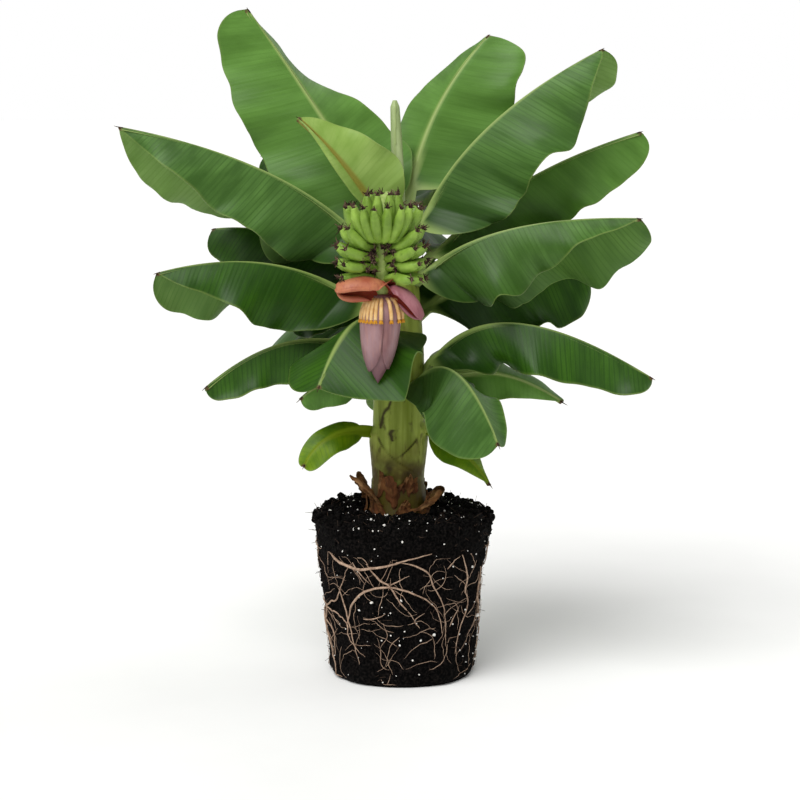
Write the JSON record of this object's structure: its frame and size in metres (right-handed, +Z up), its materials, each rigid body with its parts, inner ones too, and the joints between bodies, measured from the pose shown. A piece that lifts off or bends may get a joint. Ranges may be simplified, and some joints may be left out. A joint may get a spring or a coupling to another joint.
{
  "type": "banana starter plant",
  "caption": "Young dwarf banana plant on its bare root ball, with broad arching leaves, a hanging bunch of small green fingers and a mauve flower bud.",
  "frame": {"origin": "centre of the root ball's flat underside", "axes": "+Z up along the trunk, -Y towards the front where the fruit hangs, +X to the viewer's right"},
  "size_m": [0.5213, 0.3698, 0.6644],
  "materials": {
    "soil": "matte",
    "trunk": "satin",
    "leaf": "satin",
    "husk": "matte",
    "fruit": "satin",
    "bud": "satin"
  },
  "bodies": {
    "root": {"flower_bud": "bud", "fruit_stalk": "fruit", "husk_back_left": "husk", "husk_back_right": "husk", "husk_front": "husk", "husk_left": "husk", "husk_right": "husk", "leaf_back_1": "leaf", "leaf_back_2": "leaf", "leaf_back_left_1": "leaf", "leaf_back_left_2": "leaf", "leaf_back_left_3": "leaf", "leaf_back_right_1": "leaf", "leaf_back_right_2": "leaf", "leaf_front": "leaf", "leaf_front_right": "leaf", "leaf_left_1": "leaf", "leaf_left_2": "leaf", "leaf_left_3": "leaf", "leaf_left_4": "leaf", "leaf_left_5": "leaf", "leaf_left_inner": "leaf", "leaf_low_left": "leaf", "leaf_low_right": "leaf", "leaf_new": "leaf", "leaf_right_1": "leaf", "leaf_right_2": "leaf", "leaf_right_3": "leaf", "leaf_right_4": "leaf", "leaf_right_5": "leaf", "leaf_right_6": "leaf", "leaf_rolled": "leaf", "leaf_tall_left": "leaf", "leaf_tall_right": "leaf", "root_ball": "soil", "trunk": "trunk"}
  },
  "joints": []
}
